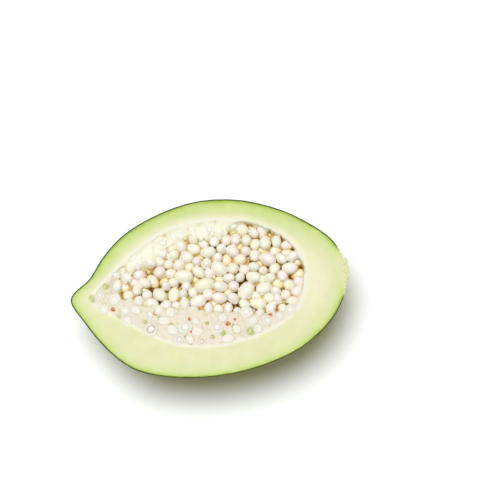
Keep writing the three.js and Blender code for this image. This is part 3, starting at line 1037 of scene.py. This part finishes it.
def add_pulp(seeds):
    """The seed mass: its uneven top, closed along the cavity's wall."""
    top, floats = pulp_top(seeds)
    under = MIDDLE + (cavity - MIDDLE) * 0.995
    wall = under[2:-1:4]
    wall[..., 2] = np.minimum(wall[..., 2], CUT - 0.6 * MM)
    poles = [under[-1].mean(0), top[-1].mean(0)]
    points = listed(wall[::-1], top, poles)
    faces = closed_faces(wall.shape[0] + PULP_RINGS, AROUND, True)
    padded = {
        key: np.concatenate([np.zeros(wall.shape[0] * AROUND), values.ravel(), (0, values[-1].mean())])
        for key, values in floats.items()
    }
    return add_mesh("pulp", points, faces, [pulp_material()], padded, 70)


# The stalk's scar

def crumb_place():
    """A place on the scar: more than half are on the cut face just inside the rim."""
    rim = outside[0][outside[0][:, 0] > 0]
    rim = rim[rim[:, 1].argsort()]
    side = rng.triangular(-1.5, 0, 1.5)
    y = TIP[1] - SCAR_OFFSET + side * SCAR_RADIUS
    x = np.interp(y, rim[:, 1], rim[:, 0])
    if rng.uniform() < 0.6:
        inward = 2.6 * MM * rng.uniform() * (1 - abs(side) / 1.6)
        return x - 0.1 * MM - inward, y, CUT - rng.uniform(0.1, 0.35) * MM
    drop = SCAR_RADIUS * rng.uniform() * (1 - abs(side) / 1.6)
    return x - 0.2 * MM - 10 * drop ** 2, y, CUT - drop


def add_stalk_crumbs():
    """Small dried lumps and fibre ends on the stalk's scar."""
    angle, spin = ball_angles(CRUMB_RINGS, CRUMB_SIDES)
    ball = np.stack([np.cos(angle) * np.cos(spin), np.cos(angle) * np.sin(spin), np.sin(angle)], axis=-1)
    ball = listed(ball, [(0, 0, -1), (0, 0, 1)])
    points, faces = [], []
    for i in range(STALK_CRUMBS):
        lumpy = 1 + 0.25 * rng.normal(0, 1, (len(ball), 1)).clip(-1, 1)
        points.append(crumb_place() + ball * rng.uniform(0.2, 0.55, 3) * MM * lumpy)
        faces.extend(part + i * len(ball) for part in closed_faces(CRUMB_RINGS, CRUMB_SIDES))
    return add_mesh("stalk_crumbs", listed(*points), faces, [fibre_material()])


# Camera, light and floor

def add_camera():
    """Looks down from the photograph's angle, with the half where the photograph has it."""
    tip = Vector(TIP)
    stem = tip + Vector((LENGTH, 0, 0))
    run = STEM_PIXEL[0] - TIP_PIXEL[0]
    rise = TIP_PIXEL[1] - STEM_PIXEL[1]
    turn = -math.atan(rise / run / math.sin(CAMERA_ELEVATION))
    right = Vector((math.cos(turn), math.sin(turn), 0))
    ahead = Vector((-math.sin(turn), math.cos(turn), 0))
    pixel = (stem - tip).dot(right) / run
    off_right = PHOTO_SIDE / 2 - (TIP_PIXEL[0] + STEM_PIXEL[0]) / 2
    off_up = (TIP_PIXEL[1] + STEM_PIXEL[1]) / 2 - PHOTO_SIDE / 2
    target = (tip + stem) / 2 + right * pixel * off_right
    target += ahead * pixel * off_up / math.sin(CAMERA_ELEVATION)
    toward = Vector((0, 0, math.sin(CAMERA_ELEVATION))) - ahead * math.cos(CAMERA_ELEVATION)
    data = bpy.data.cameras.new("camera")
    data.lens = LENS / MM
    data.sensor_width = SENSOR / MM
    data.clip_end = FAR_CLIP
    camera = add_object("camera", data)
    camera.location = target + toward * pixel * PHOTO_SIDE * LENS / SENSOR
    camera.rotation_euler = toward.to_track_quat("Z", "Y").to_euler()
    bpy.context.scene.camera = camera


def add_world():
    """A faint warm light from all sides, but plain white where the camera sees past the floor."""
    world = bpy.data.worlds.new("studio")
    world.use_nodes = True
    nodes, links = world.node_tree.nodes, world.node_tree.links
    glow = nodes["Background"]
    glow.inputs["Color"].default_value = (*GLOW_COLOUR, 1)
    glow.inputs["Strength"].default_value = GLOW_STRENGTH
    wall = nodes.new("ShaderNodeBackground")
    wall.inputs["Color"].default_value = (1, 1, 1, 1)
    choice = nodes.new("ShaderNodeMixShader")
    links.new(nodes.new("ShaderNodeLightPath").outputs["Is Camera Ray"], choice.inputs["Fac"])
    links.new(glow.outputs["Background"], choice.inputs[1])
    links.new(wall.outputs["Background"], choice.inputs[2])
    links.new(choice.outputs["Shader"], nodes["World Output"].inputs["Surface"])
    bpy.context.scene.world = world
    bpy.context.scene.view_settings.view_transform = "Standard"


def add_softbox():
    data = bpy.data.lights.new("softbox", "AREA")
    data.shape = "DISK"
    data.size = SOFTBOX_SIZE
    data.energy = SOFTBOX_POWER
    data.color = SOFTBOX_COLOUR
    light = add_object("softbox", data)
    light.location = SOFTBOX_PLACE
    light.rotation_euler = (light.location - Vector(MIDDLE)).to_track_quat("Z", "Y").to_euler()


def add_floor():
    shader = Shader("floor")
    grey = shader.span(shader.noise(0.5), 0, 1, 0.94, 0.96)
    corners = [(x * FLOOR_REACH, y * FLOOR_REACH, 0) for x, y in ((-1, -1), (1, -1), (1, 1), (-1, 1))]
    floor = add_mesh("floor", corners, [np.array([[0, 1, 2, 3]])], [shader.finish(grey, 0.9)])


def show(piece, slot, *nodes):
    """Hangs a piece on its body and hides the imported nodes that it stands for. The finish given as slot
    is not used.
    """
    if nodes:
        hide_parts(*nodes)
    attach(piece, BODY)


def main():
    add_camera()
    add_world()
    add_softbox()
    add_floor()
    names = sorted(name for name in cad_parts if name.startswith("seed_") and name != "seed_mass")
    groups = [gap_keepers(), ridges(), node_seeds(names), ringed_seeds(), band_seeds()]
    fixed = groups[0].joined(*groups[1:])
    groups.append(whole_seeds(fixed))
    seeds = fixed.joined(groups[-1])
    ends = np.cumsum([len(group) for group in groups])
    _, _, loose, ringed, band, free = np.split(np.arange(len(seeds)), ends[:-1])
    settle(seeds, band, free)
    band = clear_of(seeds, ringed, band)
    coat = seed_material()
    for i, name in zip(loose, names):
        show(add_seeds("ivory_" + name, seeds, [i], coat), "seed", name)
    show(add_seeds("ringed_seeds", seeds, ringed, coat), "seed")
    show(add_seeds("sliced_seeds", seeds, band, coat, SLICED_CORE, SLICED_SEED_DROP), "seed")
    show(add_seeds("packed_seeds", seeds, free, coat), "seed")
    show(add_pulp(seeds.after(len(GAPS))), "pulp", "seed_mass")
    show(add_flesh(), "flesh", "fruit_half")
    show(add_peel(), "skin")
    show(add_stalk_crumbs(), "flesh")


main()
